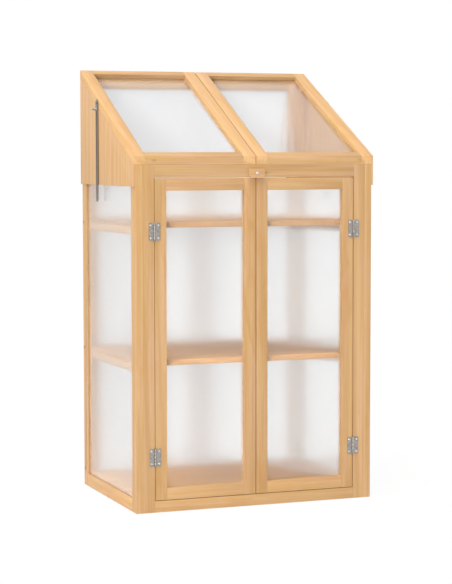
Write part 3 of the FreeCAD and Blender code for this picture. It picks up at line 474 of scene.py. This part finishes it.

# For each kind of board: the way of its grain, its seed, its tone and its warmth. The tone is
# partly painted light and shade: boards that face up, such as the lid stiles, are brightened and
# boards that face the front are darkened, for how the light falls on them.
GRAINS = {
    "post": ("Z", 3, 0.91, 0.35), "front_stile": ("Z", 11, 0.86, 0.50),
    "door_stile": ("Z", 23, 0.85, 0.60), "meeting_stile": ("Z", 31, 0.87, 0.65),
    "side_rail": ("Y", 5, 0.96, 0.35), "door_rail": ("X", 13, 0.90, 0.35),
    "lid_stile": ("slope", 17, 1.09, 0.40), "inner_stile": ("slope", 19, 1.09, 0.35),
    "lid_rail": ("X", 29, 0.92, 0.40), "gable": ("Z", 37, 1.01, 0.35),
}
# The right-hand boards get their own seeds, and a lower tone that is painted shade, the right
# side being away from the key light.
RIGHT_SEED, RIGHT_PAINTED_SHADE = 60, -0.03
firs = {}
for number, side in enumerate(SIDES):
    for part, (grain, seed, tone, warmth) in GRAINS.items():
        firs[side, part] = fir(
            f"{side}_{part}_fir", grain, seed + RIGHT_SEED * number,
            tone + RIGHT_PAINTED_SHADE * number, warmth, KNOTS if part == "lid_rail" else ())
# The front rails face the front: their low tone is painted shade, as on the other front-facing
# boards.
front_rail_fir = fir("front_rail_fir", "X", 7, 0.84, 0.35)

# For each shelf: its seed, and its tone as seen through the panes. The tones are painted light
# and shade: the bottom shelf is brightened and the middle and upper shelves are darkened, for how
# much light reaches each.
SHELF_PAINTED_LIGHT = {
    "bottom_shelf": (41, 1.10), "middle_shelf": (42, 0.87), "upper_shelf": (44, 0.76)}
SHELF_HUE = (1.0, 0.89, 0.70)
shelf_firs = {
    part: fir(part + "_fir", "X", seed, tone, 1.0, hue=SHELF_HUE)
    for part, (seed, tone) in SHELF_PAINTED_LIGHT.items()}
batten_fir = fir("batten_fir", "Y", 43, 0.93, 0.35)
button_fir = fir("button_fir", "X", 47, 0.93, 0.35)

front_sheet = polycarbonate("front_sheet", "X", flank_lean=1.0)
side_sheet = polycarbonate("side_sheet", "Y", flank_lean=0.06)
# The back sheet's bluer tint is painted light: it takes out the warm light that the wood throws
# on it.
back_sheet = polycarbonate(
    "back_sheet", "X", flank_lean=0.4, clear=0.77, tint=(0.972, 0.988, 1.0))
# The lid sheet's grey tint is painted shade: it darkens the lid panes, which catch more of the
# lamps' light than the rest.
lid_sheet = polycarbonate(
    "lid_sheet", "X", flank_lean=0.06, frosting=(0.03, 0.06), tint=(0.85, 0.86, 0.875))

# The hinge, nut and stay zinc are darker than bare zinc: painted reflection of a dark room, which
# the white world doesn't give. The stay's is warm as well, painting the wood that it reflects.
hinge_zinc = zinc("hinge_zinc", (0.43, 0.40, 0.375), 0.34, 0.40)
screw_zinc = zinc("screw_zinc", (0.78, 0.78, 0.76), 0.24)
nut_zinc = zinc("nut_zinc", (0.52, 0.49, 0.45), 0.30)
dark_zinc = zinc("dark_zinc", (0.10, 0.085, 0.07), 0.48)
stay_zinc = zinc("stay_zinc", (0.27, 0.235, 0.21), 0.34)


# Planed boards: each keeps its CAD shape, with its arrises eased

EASE, GABLE_EASE, SHELF_EASE = 0.7 * MM, 0.4 * MM, 0.9 * MM
ARRIS_LENGTH, ARRIS_ANGLE = 12 * MM, math.radians(30)
SAME_POINT, SAME_PLANE = 0.01 * MM, math.radians(0.5)


def arris(edge):
    """Whether an edge is a long outer corner of a board."""
    return (edge.is_manifold and edge.is_convex and edge.calc_length() > ARRIS_LENGTH
            and edge.calc_face_angle(0) > ARRIS_ANGLE)


def board(node, body, finish, ease=EASE):
    """A copy of a board's solid, with whole faces and its long corners rounded over."""
    piece = bpy.data.objects.new(node + "_board", frame["nodes"][node].data.copy())
    bpy.context.scene.collection.objects.link(piece)
    edit_whole(piece)
    bpy.ops.mesh.remove_doubles(threshold=SAME_POINT)
    bpy.ops.mesh.dissolve_limited(angle_limit=SAME_PLANE)
    done()
    round_edges(piece, arris, ease, 2)
    return dress(piece, body, finish, node)


BOARDS = {
    "front_post": "post", "rear_post": "post", "bottom_rail": "side_rail",
    "top_rail": "side_rail", "front_stile": "front_stile", "back_stile": "front_stile",
}
DOOR_BOARDS = {
    "hinge_stile": "door_stile", "meeting_stile": "meeting_stile", "top_rail": "door_rail",
    "bottom_rail": "door_rail",
}
LID_BOARDS = {
    "outer_stile": "lid_stile", "inner_stile": "inner_stile", "front_rail": "lid_rail",
    "back_rail": "lid_rail",
}
for side in SIDES:
    for part, kind in BOARDS.items():
        board(f"{side}_{part}", "cabinet", firs[side, kind])
    board(f"{side}_gable_board", "cabinet", firs[side, "gable"], GABLE_EASE)
    for part, kind in DOOR_BOARDS.items():
        board(f"{side}_door_{part}", f"{side}_door", firs[side, kind])
    for part, kind in LID_BOARDS.items():
        board(f"{side}_lid_{part}", f"{side}_lid", firs[side, kind])
for part in ("front_top_rail", "front_bottom_rail", "back_top_rail", "back_bottom_rail"):
    board(part, "cabinet", front_rail_fir)
for part, finish in shelf_firs.items():
    board(part, "cabinet", finish, SHELF_EASE)
board("shelf_battens", "cabinet", batten_fir, SHELF_EASE)


# Sheets: the CAD solids themselves, with their own finish

def glaze(node, finish):
    """Put a finish on a CAD node that keeps its shape."""
    piece = frame["nodes"][node]
    piece.data.materials.clear()
    piece.data.materials.append(finish)


for side in SIDES:
    glaze(f"{side}_side_pane", side_sheet)
    glaze(f"{side}_door_pane", front_sheet)
    glaze(f"{side}_lid_pane", lid_sheet)
glaze("back_pane", back_sheet)


# Screws, each modelled once on its own axis with its head towards +Z

def cross_recess(head, radius, top, deep):
    """Cut a driver's cross, narrower below, into the top of a head."""
    arm, half_slot = radius * 0.62, radius * 0.13
    for x, y in ((arm, half_slot), (half_slot, arm)):
        cutter = block("driver", (-x, -y, top - deep), (x, y, top + deep))
        edit_some(cutter, "FACE", lambda face: face.normal.z < -FACING)
        bpy.ops.transform.resize(value=(0.55, 0.55, 1))
        done()
        carve(head, cutter)


def domed_head(name, radius, dome):
    """A low dome, flat underneath."""
    head = started(
        name, bpy.ops.mesh.primitive_uv_sphere_add, segments=32, ring_count=16, radius=radius)
    head.scale = (1, 1, dome / radius)
    edit_whole(settle(head))
    bpy.ops.mesh.bisect(plane_co=(0, 0, 0), plane_no=(0, 0, 1), clear_inner=True, use_fill=True)
    done()
    return head


def countersunk_screw(name, head, shank, head_high, long, dome):
    """A screw with a cone under a low dome that rises above z = 0."""
    top = domed_head(name, head / 2, dome)
    cross_recess(top, head / 2, dome, dome * 0.9)
    cone = rod("cone", shank / 2, -head_high, 0, top_radius=head / 2)
    body = rod("body", shank / 2, shank - long, -head_high, 20)
    tip = rod("tip", 0.1 * MM, -long, shank - long, 20, shank / 2)
    return together(name, [top, cone, body, tip])


def pan_screw(name, head, head_high, shank, long):
    """A screw with a rounded cheese head that lies on the surface."""
    top = rod(name, head / 2, 0, head_high)
    round_edges(top, above(head_high * 0.9), head_high * 0.6, 4)
    cross_recess(top, head / 2, head_high, head_high * 0.6)
    body = rod("body", shank / 2, -long, 0, 20)
    return together(name, [top, body])


leaf_screw = countersunk_screw(
    "leaf_screw", head=5.4 * MM, shank=2.8 * MM, head_high=1.1 * MM, long=14 * MM,
    dome=0.8 * MM)
frame_screw = countersunk_screw(
    "frame_screw", head=7.4 * MM, shank=4 * MM, head_high=2.0 * MM, long=42 * MM,
    dome=0.9 * MM)
button_screw = pan_screw(
    "button_screw", head=8 * MM, head_high=2 * MM, shank=4 * MM, long=24 * MM)
stay_screw = pan_screw(
    "stay_screw", head=8 * MM, head_high=2 * MM, shank=5 * MM, long=2.7 * MM)


# Butt hinges, modelled standing on a face y = 0 with the barrel along Z

HINGE_HIGH, LEAF_WIDE, LEAF_THICK = 48 * MM, 16 * MM, 1.2 * MM
LEAF_CORNER = 2.6 * MM
BARREL, PIN, PIN_PROUD = 2.5 * MM, 1.3 * MM, 0.25 * MM
KNUCKLES = 5
KNUCKLE = HINGE_HIGH / KNUCKLES
KNUCKLE_PLAY, NOTCH_PLAY, NOTCH_PAST_END = 0.12 * MM, 0.1 * MM, 1 * MM

# Each leaf has two screws: how far they are from the pin, how far above and below
# the middle, and how far off the face their heads are widest
SCREW_REACH, SCREW_RISE, SCREW_SEAT = 11 * MM, 17 * MM, 1.1 * MM
DISH_FRONT, DISH_BACK = 3.4 * MM, 2.0 * MM


def cut_notch(leaf, side, number):
    """Make room in a leaf for one knuckle of the other leaf."""
    last = KNUCKLES - 1
    low = number * KNUCKLE - (NOTCH_PLAY if number > 0 else NOTCH_PAST_END)
    high = (number + 1) * KNUCKLE + (NOTCH_PLAY if number < last else NOTCH_PAST_END)
    inner, outer = sorted((-side * 1 * MM, side * (BARREL + 0.4 * MM)))
    carve(leaf, block("notch", (inner, -3 * MM, low), (outer, 1 * MM, high)))


def knuckle(number):
    """One roll of the barrel."""
    roll = rod(
        "knuckle", BARREL, number * KNUCKLE + KNUCKLE_PLAY, (number + 1) * KNUCKLE - KNUCKLE_PLAY)
    roll.data.transform(Matrix.Translation((0, -BARREL, 0)))
    return soften(roll, 0.3 * MM)


def hinge_leaf(name, side, owned):
    """A stamped leaf with rounded free corners, dished screw holes and its knuckles."""
    free = side * LEAF_WIDE
    low, high = sorted((side * BARREL * 0.2, free))
    leaf = block(name, (low, -LEAF_THICK, 0), (high, 0, HINGE_HIGH))

    def corner(edge):
        return along(edge, 1) and all(abs(v.co.x - free) < 0.1 * MM for v in edge.verts)
    round_edges(leaf, corner, LEAF_CORNER, 6)
    for rise in (-SCREW_RISE, SCREW_RISE):
        dish = rod("dish", DISH_FRONT, -2 * MM, 0.2 * MM, top_radius=DISH_BACK)
        dish.data.transform(frame_of(
            FACING_BACK, (side * SCREW_REACH, 0, HINGE_HIGH / 2 + rise)))
        carve(leaf, dish)
    for number in range(KNUCKLES):
        if number not in owned:
            cut_notch(leaf, side, number)
    soften(leaf, 0.2 * MM)
    return together(name, [leaf] + [knuckle(number) for number in owned])


fixed_leaf = hinge_leaf("fixed_leaf", -1, (0, 2, 4))
moving_leaf = hinge_leaf("moving_leaf", 1, (1, 3))
hinge_pin = rod("hinge_pin", PIN, -PIN_PROUD, HINGE_HIGH + PIN_PROUD, 24)
hinge_pin.data.transform(Matrix.Translation((0, -BARREL, 0)))
soften(hinge_pin, 0.35 * MM)

patterns = [
    leaf_screw, frame_screw, button_screw, stay_screw, fixed_leaf, moving_leaf, hinge_pin]

DOOR_HINGES = (149.5 * MM, 756 * MM)
LID_HINGES = (-260 * MM, -90 * MM)

fixed_leaves, fixed_screws, pins = [], [], []
door_leaves, door_screws, lid_leaves, lid_screws = [], [], [], []


def hang(foot, axes, screw_axes, moving_leaves, moving_screws):
    """Place one hinge with its lower end at a point: both leaves, the pin and four screws."""
    stand = frame_of(axes, foot)
    fixed_leaves.append(placed(fixed_leaf, stand))
    pins.append(placed(hinge_pin, stand))
    moving_leaves.append(placed(moving_leaf, stand))
    for rise in (-SCREW_RISE, SCREW_RISE):
        for reach, row in ((-SCREW_REACH, fixed_screws), (SCREW_REACH, moving_screws)):
            spot = stand @ Vector((reach, -SCREW_SEAT, HINGE_HIGH / 2 + rise))
            row.append(placed(leaf_screw, frame_of(screw_axes, spot)))


for height in DOOR_HINGES:
    hang((-DOOR_AXIS.x, FRONT, height - HINGE_HIGH / 2), UPRIGHT, FACING_FRONT,
         door_leaves, door_screws)
for middle in LID_HINGES:
    hang((middle - HINGE_HIGH / 2, BACK, LID_AXIS.z), ON_BACK, FACING_BACK,
         lid_leaves, lid_screws)

for name, pieces, body, finish, slot, node in (
        ("fixed_hinge_leaves", fixed_leaves, "cabinet", hinge_zinc, "hinge_steel",
         "fixed_hinge_leaves"),
        ("hinge_pins", pins, "cabinet", dark_zinc, "pin_steel", "hinge_pins"),
        ("hinge_screws", fixed_screws, "cabinet", screw_zinc, "screw_steel",
         "cabinet_screws"),
        ("door_hinge_leaves", door_leaves, "left_door", hinge_zinc, "hinge_steel",
         "left_door_hinge_leaves"),
        ("door_hinge_screws", door_screws, "left_door", screw_zinc, "hinge_steel",
         "left_door_hinge_leaves"),
        ("lid_hinge_leaves", lid_leaves, "left_lid", hinge_zinc, "hinge_steel",
         "left_lid_hinge_leaves"),
        ("lid_hinge_screws", lid_screws, "left_lid", screw_zinc, "hinge_steel",
         "left_lid_hinge_leaves")):
    dress_pair(together(f"left_{name}_piece", pieces), body, finish, node)


# Frame screws: their heads lie flush in the rear posts and in the front stiles' edges

SCREW_LEVELS = (49 * MM, 403 * MM, 766 * MM)
POST_FACE, STILE_EDGE = -345 * MM, -292 * MM
SUNK, HALF_FRAME = 0.95 * MM, 10 * MM

joint_screws = []
for height in SCREW_LEVELS:
    for spot, axes in (
            ((POST_FACE + SUNK, BACK - HALF_FRAME, height), FACING_LEFT),
            ((STILE_EDGE - SUNK, FRONT + HALF_FRAME, height), FACING_RIGHT)):
        joint_screws.append(placed(frame_screw, frame_of(axes, spot)))
dress_pair(
    together("left_frame_screws", joint_screws), "cabinet", dark_zinc,
    "cabinet_screws")


# Turn button

def turn_button():
    """The button, with rounded corners and a hole, and the screw that it turns on."""
    low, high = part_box("turn_button")
    middle = (low + high) / 2
    button = block("turn_button_piece", low, high)
    round_edges(button, lambda edge: along(edge, 1), 8 * MM, 8)
    hole = rod("hole", 2.1 * MM, -20 * MM, 20 * MM, 24)
    hole.data.transform(frame_of(FACING_FRONT, middle))
    carve(button, hole)
    soften(button, 1.1 * MM, 3, 50)
    dress(button, "turn_button", button_fir, "turn_button")
    pivot = placed(button_screw, frame_of(FACING_FRONT, (middle.x, low.y, middle.z)))
    pivot.name = "turn_button_screw"
    dress(pivot, "cabinet", screw_zinc, "cabinet_screws")


turn_button()


# Stays: bar, washer, bolt and wing nut, modelled at the left side. The bolt's head
# is inside the gable board. Washer, bar and nut follow outwards from its outside

GABLE_INSIDE, GABLE_OUTSIDE = -345 * MM, -350 * MM
WASHER_THICK, BAR_THICK, NUT_GAP = 1 * MM, 2 * MM, 0.05 * MM
BAR_INSIDE = GABLE_OUTSIDE - WASHER_THICK
BAR_OUTSIDE = BAR_INSIDE - BAR_THICK

# Heights on the bar are from the bolt's axis, with the lid shut
BAR_BOTTOM, BAR_TOP, BAR_WIDE = -258 * MM, 27 * MM, 20 * MM
SLOT_BOTTOM, SLOT_TOP, SLOT_WIDE = -242 * MM, 6 * MM, 6.6 * MM
EYE, EYE_HIGH = 2.6 * MM, 19 * MM

BOLT_RADIUS, BORE, THREAD_CORE = 3 * MM, 3.1 * MM, 2.55 * MM
SHANK_END, BOLT_END, THREAD_PITCH, THREAD_TURNS = 8 * MM, 22 * MM, 1 * MM, 12

# A wing nut's wings grow from stubs in two steps: out, up, then thinner and taller
NUT_HIGH = 6 * MM
WING_STUB, WING_HALF, WING_LOW = (2.4 * MM, 6.2 * MM), 1.3 * MM, 1.4 * MM
WING_STEPS = ((4.2 * MM, 3.6 * MM, 0.8, 1.15), (2.8 * MM, 2.0 * MM, 0.75, 0.8))


def stadium(name, low, high, thick_low, thick_high, wide):
    """A flat bar along Z with half-round ends, its thickness along X."""
    nearly_half = wide / 2 * 0.999
    bar = block(name, (thick_low, -wide / 2, low), (thick_high, wide / 2, high))
    return round_edges(bar, lambda edge: along(edge, 0), nearly_half, 14)


def stay_bar():
    """The slotted bar, with an eye for its screw on the lid."""
    past = 3 * MM
    bar = stadium(
        "left_stay_bar_piece", BAR_BOTTOM, BAR_TOP, BAR_OUTSIDE, BAR_INSIDE, BAR_WIDE)
    carve(bar, stadium(
        "slot_cut", SLOT_BOTTOM, SLOT_TOP, BAR_OUTSIDE - past, BAR_INSIDE + past, SLOT_WIDE))
    eye = rod("eye", EYE, -360 * MM, 360 * MM, 24)
    eye.data.transform(frame_of(FACING_RIGHT, (0, 0, EYE_HIGH)))
    carve(bar, eye)
    soften(bar, 0.35 * MM)
    bar.data.transform(Matrix.Translation(BOLT))
    return bar


def stay_washer():
    """A plain washer on the Z axis."""
    washer = rod("left_stay_washer_piece", 7 * MM, 0, WASHER_THICK, 40)
    carve(washer, rod("bore", BORE, -1 * MM, 2 * MM))
    return soften(washer, 0.15 * MM)


def wing_nut():
    """A cast wing nut on the Z axis, its wings along X."""
    nut = rod("left_wing_nut_piece", 5 * MM, 0, NUT_HIGH, top_radius=4.1 * MM)
    for side in (-1, 1):
        low, high = sorted(side * reach for reach in WING_STUB)
        wing = block("wing", (low, -WING_HALF, WING_LOW), (high, WING_HALF, NUT_HIGH))
        edit_some(wing, "FACE", lambda face: face.normal.x * side > FACING)
        for out, up, thinner, taller in WING_STEPS:
            bpy.ops.mesh.extrude_region_move(
                TRANSFORM_OT_translate={"value": (side * out, 0, up)})
            bpy.ops.transform.resize(value=(1, thinner, taller))
        done()
        smooth = wing.modifiers.new("smooth", "SUBSURF")
        smooth.levels = smooth.render_levels = 2
        weld_on(nut, applied(wing, smooth))
    carve(nut, rod("bore", BORE, -1 * MM, 8 * MM))
    return soften(nut, 0.2 * MM, 1, 50)


def thread_crest():
    """The crest of a thread: a small triangle taken round and up the Z axis."""
    crest = started(
        "crest", bpy.ops.mesh.primitive_circle_add, vertices=3, radius=THREAD_PITCH / 2,
        fill_type="NGON")
    crest.data.transform(
        Matrix.Translation((THREAD_CORE, 0, SHANK_END + THREAD_PITCH / 2))
        @ Matrix.Rotation(math.pi / 2, 4, "X") @ Matrix.Rotation(-math.pi / 2, 4, "Z"))
    thread = crest.modifiers.new("thread", "SCREW")
    thread.axis = "Z"
    thread.screw_offset = THREAD_PITCH
    thread.iterations = THREAD_TURNS
    thread.steps = thread.render_steps = 20
    thread.use_normal_calculate = True
    edit_whole(applied(crest, thread))
    bpy.ops.mesh.fill_holes(sides=3)
    bpy.ops.mesh.normals_make_consistent(inside=False)
    done()
    return crest


def stay_bolt():
    """A dome-head bolt on the Z axis, head towards -Z, threaded where the nut runs."""
    head = domed_head("left_stay_bolt_piece", 6.5 * MM, 3.5 * MM)
    head.data.transform(Matrix.Rotation(math.pi, 4, "X"))
    shank = rod("shank", BOLT_RADIUS, 0, SHANK_END)
    core = rod("core", THREAD_CORE, SHANK_END, BOLT_END)
    round_edges(core, above(BOLT_END - 0.1 * MM), 0.6 * MM, 2)
    return together("left_stay_bolt_piece", [head, shank, core, thread_crest()])


def on_bolt(piece, x):
    """Put a piece on the bolt's axis, facing left, with its foot at x."""
    piece.data.transform(frame_of(FACING_LEFT, (x, BOLT.y, BOLT.z)))
    return piece


bar = stay_bar()
carrier = placed(
    stay_screw, frame_of(FACING_LEFT, (BAR_OUTSIDE, BOLT.y, BOLT.z + EYE_HIGH)))
carrier.name = "left_stay_screw_piece"
washer = on_bolt(stay_washer(), GABLE_OUTSIDE)
bolt = on_bolt(stay_bolt(), GABLE_INSIDE)
nut = on_bolt(wing_nut(), BAR_OUTSIDE - NUT_GAP)

for piece, body, finish, slot, node in (
        (bar, "left_stay_bar", stay_zinc, "stay_steel", "left_stay_bar"),
        (carrier, "left_stay_bar", stay_zinc, "stay_steel", "left_stay_bar"),
        (washer, "left_stay_washer", hinge_zinc, "stay_steel", "left_stay_washer"),
        (bolt, "cabinet", nut_zinc, "bolt_steel", "stay_bolts"),
        (nut, "left_wing_nut", nut_zinc, "nut_steel", "left_wing_nut")):
    dress_pair(piece, body, finish, node)

for pattern in patterns:
    bpy.data.objects.remove(pattern)


# Floor and light

WHITE = (1, 1, 1, 1)
FLOOR_SIZE, FLOOR_MIDDLE = 24, (0, 4, 0)
FLOOR_WHITE, FLOOR_GLOW = 0.92, 0.92
SKY_LIGHT, SKY_SEEN = 0.55, 1.0


def floor_finish():
    """A matt white that stays white where the camera looks at it."""
    finish = new_finish("floor_white")
    matt = finish.node("BsdfDiffuse", {"Color": (FLOOR_WHITE, FLOOR_WHITE, FLOOR_WHITE, 1)})
    light = finish.node("Emission", {"Color": WHITE, "Strength": 1.0})
    return finish.between(finish.math("MULTIPLY", finish.in_view(), FLOOR_GLOW), matt, light)


floor = started("floor", bpy.ops.mesh.primitive_plane_add, size=FLOOR_SIZE, location=FLOOR_MIDDLE)
floor.data.materials.append(floor_finish())

world = bpy.data.worlds.new("studio")
bpy.context.scene.world = world
sky = Nodes(world, "ShaderNodeOutputWorld")
soft = sky.node("Background", {"Color": WHITE, "Strength": SKY_LIGHT})
white = sky.node("Background", {"Color": WHITE, "Strength": SKY_SEEN})
sky.between(sky.in_view(), soft, white)


def sun(name, direction, strength, angle):
    """A lamp that shines along a direction, as wide in the sky as an angle in degrees."""
    data = bpy.data.lights.new(name, "SUN")
    data.energy = strength
    data.angle = math.radians(angle)
    lamp = bpy.data.objects.new(name, data)
    lamp.rotation_euler = Vector(direction).to_track_quat("-Z", "Y").to_euler()
    bpy.context.scene.collection.objects.link(lamp)


sun("key_light", (0.74, 1.0, -0.14), 1.12, 3)
sun("top_light", (0.20, 0.25, -1.0), 1.7, 30)
sun("side_light", (1.0, 0.30, -0.6), 0.75, 20)


# Camera, as it was fitted to the photograph: angles in radians, the sensor's long
# side in millimetres, and the photograph's height and focal length in pixels

YAW, PITCH, ROLL = 0.366570, 0.0751382, -0.00105396
EYE_POINT = (-1.8598, FRONT - 4.6157, 0.9619)
SENSOR, PHOTO_HIGH, FOCAL_LENGTH = 36, 584, 1833.0978

forward = Vector((
    math.sin(YAW) * math.cos(PITCH), math.cos(YAW) * math.cos(PITCH), -math.sin(PITCH)))
level = Vector((math.cos(YAW), -math.sin(YAW), 0))
rising = level.cross(forward)
to_right = level * math.cos(ROLL) + rising * math.sin(ROLL)
to_top = rising * math.cos(ROLL) - level * math.sin(ROLL)
lens = bpy.data.cameras.new("camera")
lens.sensor_width = SENSOR
lens.lens = FOCAL_LENGTH / PHOTO_HIGH * SENSOR
lens.clip_end = 100
camera = bpy.data.objects.new("camera", lens)
camera.matrix_world = frame_of((to_right, to_top, -forward), EYE_POINT)
bpy.context.scene.collection.objects.link(camera)
bpy.context.scene.camera = camera
bpy.context.scene.view_settings.view_transform = "Standard"
